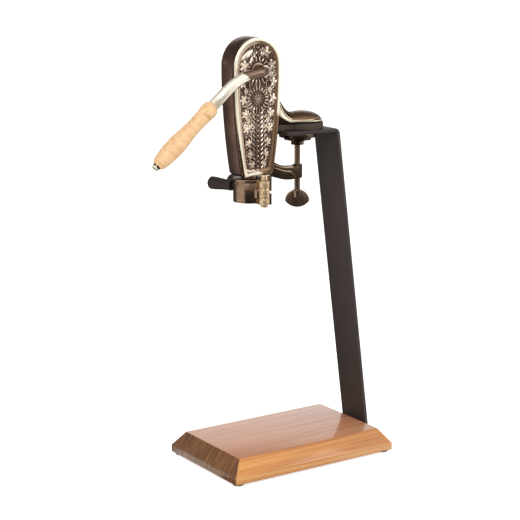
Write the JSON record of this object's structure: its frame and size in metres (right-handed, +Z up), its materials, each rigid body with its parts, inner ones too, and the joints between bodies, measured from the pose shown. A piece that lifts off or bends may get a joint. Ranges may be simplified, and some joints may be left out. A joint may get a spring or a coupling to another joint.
{
  "type": "counter mount corkscrew",
  "caption": "Crank-driven cork puller with a hinged bottle collar, clamped to a leaning flat-bar stand on a beveled wooden base.",
  "frame": {"origin": "on the table plane, under the middle of the whole object's length and width, with the crank as pictured", "axes": "+Z up; +X from the crank and bottle side towards the upright bar; +Y towards the squeeze levers, away from the relief face"},
  "size_m": [0.3675, 0.172, 0.602],
  "materials": {
    "wood": "clear varnished oak",
    "grip_wood": "oiled turned beech",
    "rubber": "matt black rubber",
    "black_steel": "matt brown-black powder coat",
    "bronze": "antique bronze plate with polished edges",
    "brass": "polished antique brass",
    "black_grip": "black moulded grip",
    "steel": "plain steel"
  },
  "bodies": {
    "stand": {"base_board": "wood", "rubber_feet": "rubber", "saddle_pad": "rubber", "fixed_liner": "rubber", "upright_bar": "black_steel", "housing_front": "bronze", "housing_back": "bronze", "clamp_saddle": "bronze", "clamp_arm": "bronze", "crank_bushes": "bronze", "fixed_jaw": "brass", "hinge_pin": "brass", "worm_nut": "brass", "rear_lever_grip": "black_grip", "upright_screws": "steel", "housing_screws": "steel", "pinion_axle": "steel", "guide_rods": "steel", "guide_bridge": "steel", "guide_pins": "steel", "clamp_bolts": "steel"},
    "crank": {"crank_shaft": "steel", "crank_gear": "steel", "crank_arm": "bronze", "crank_nut": "bronze", "crank_grip": "grip_wood", "grip_nut": "bronze"},
    "pinion": {"drive_pinion": "steel"},
    "carriage": {"carriage": "steel", "rack": "steel"},
    "worm": {"worm": "steel", "worm_head": "brass"},
    "jaw": {"swing_jaw": "brass", "swing_liner": "rubber", "front_lever_grip": "black_grip"},
    "cup": {"pressure_cup": "bronze", "cup_retainer": "steel"},
    "screw": {"clamp_screw": "steel", "wing_knob": "bronze"}
  },
  "joints": [
    {"name": "crank_turn", "type": "hinge", "parent": "stand", "child": "crank", "pos_m": [-0.0082, 0, 0.558], "axis": [0, -1, 0], "range_deg": [-142, 15]},
    {"name": "pinion_spin", "type": "hinge", "parent": "stand", "child": "pinion", "pos_m": [-0.0002, 0, 0.51983], "axis": [0, -1, 0], "range_deg": [-20.55, 193.74]},
    {"name": "carriage_slide", "type": "slide", "parent": "stand", "child": "carriage", "axis": [0, 0, -1], "range_m": [-0.0059, 0.05577]},
    {"name": "worm_spin", "type": "hinge", "parent": "carriage", "child": "worm", "pos_m": [-0.0112, 0, 0.4], "axis": [0, 0, -1], "range_deg": [-219.6, 2070.6]},
    {"name": "jaw_swing", "type": "hinge", "parent": "stand", "child": "jaw", "pos_m": [-0.0052, -0.028, 0.385], "axis": [0, 0, 1], "range_deg": [0, 28]},
    {"name": "screw_turn", "type": "hinge", "parent": "cup", "child": "screw", "pos_m": [0.0696, 0, 0.4], "axis": [0, 0, -1], "range_deg": [-1, 2521]},
    {"name": "cup_slide", "type": "slide", "parent": "stand", "child": "cup", "axis": [0, 0, -1], "range_m": [0, 0.014]}
  ],
  "couplings": [
    {"joint": "pinion_spin", "follows": "crank_turn", "ratio": -1.3636},
    {"joint": "carriage_slide", "follows": "crank_turn", "m_per_rad": -0.0225},
    {"joint": "worm_spin", "follows": "crank_turn", "ratio": -14.574},
    {"joint": "screw_turn", "follows": "cup_slide", "rad_per_m": 3141.6}
  ]
}
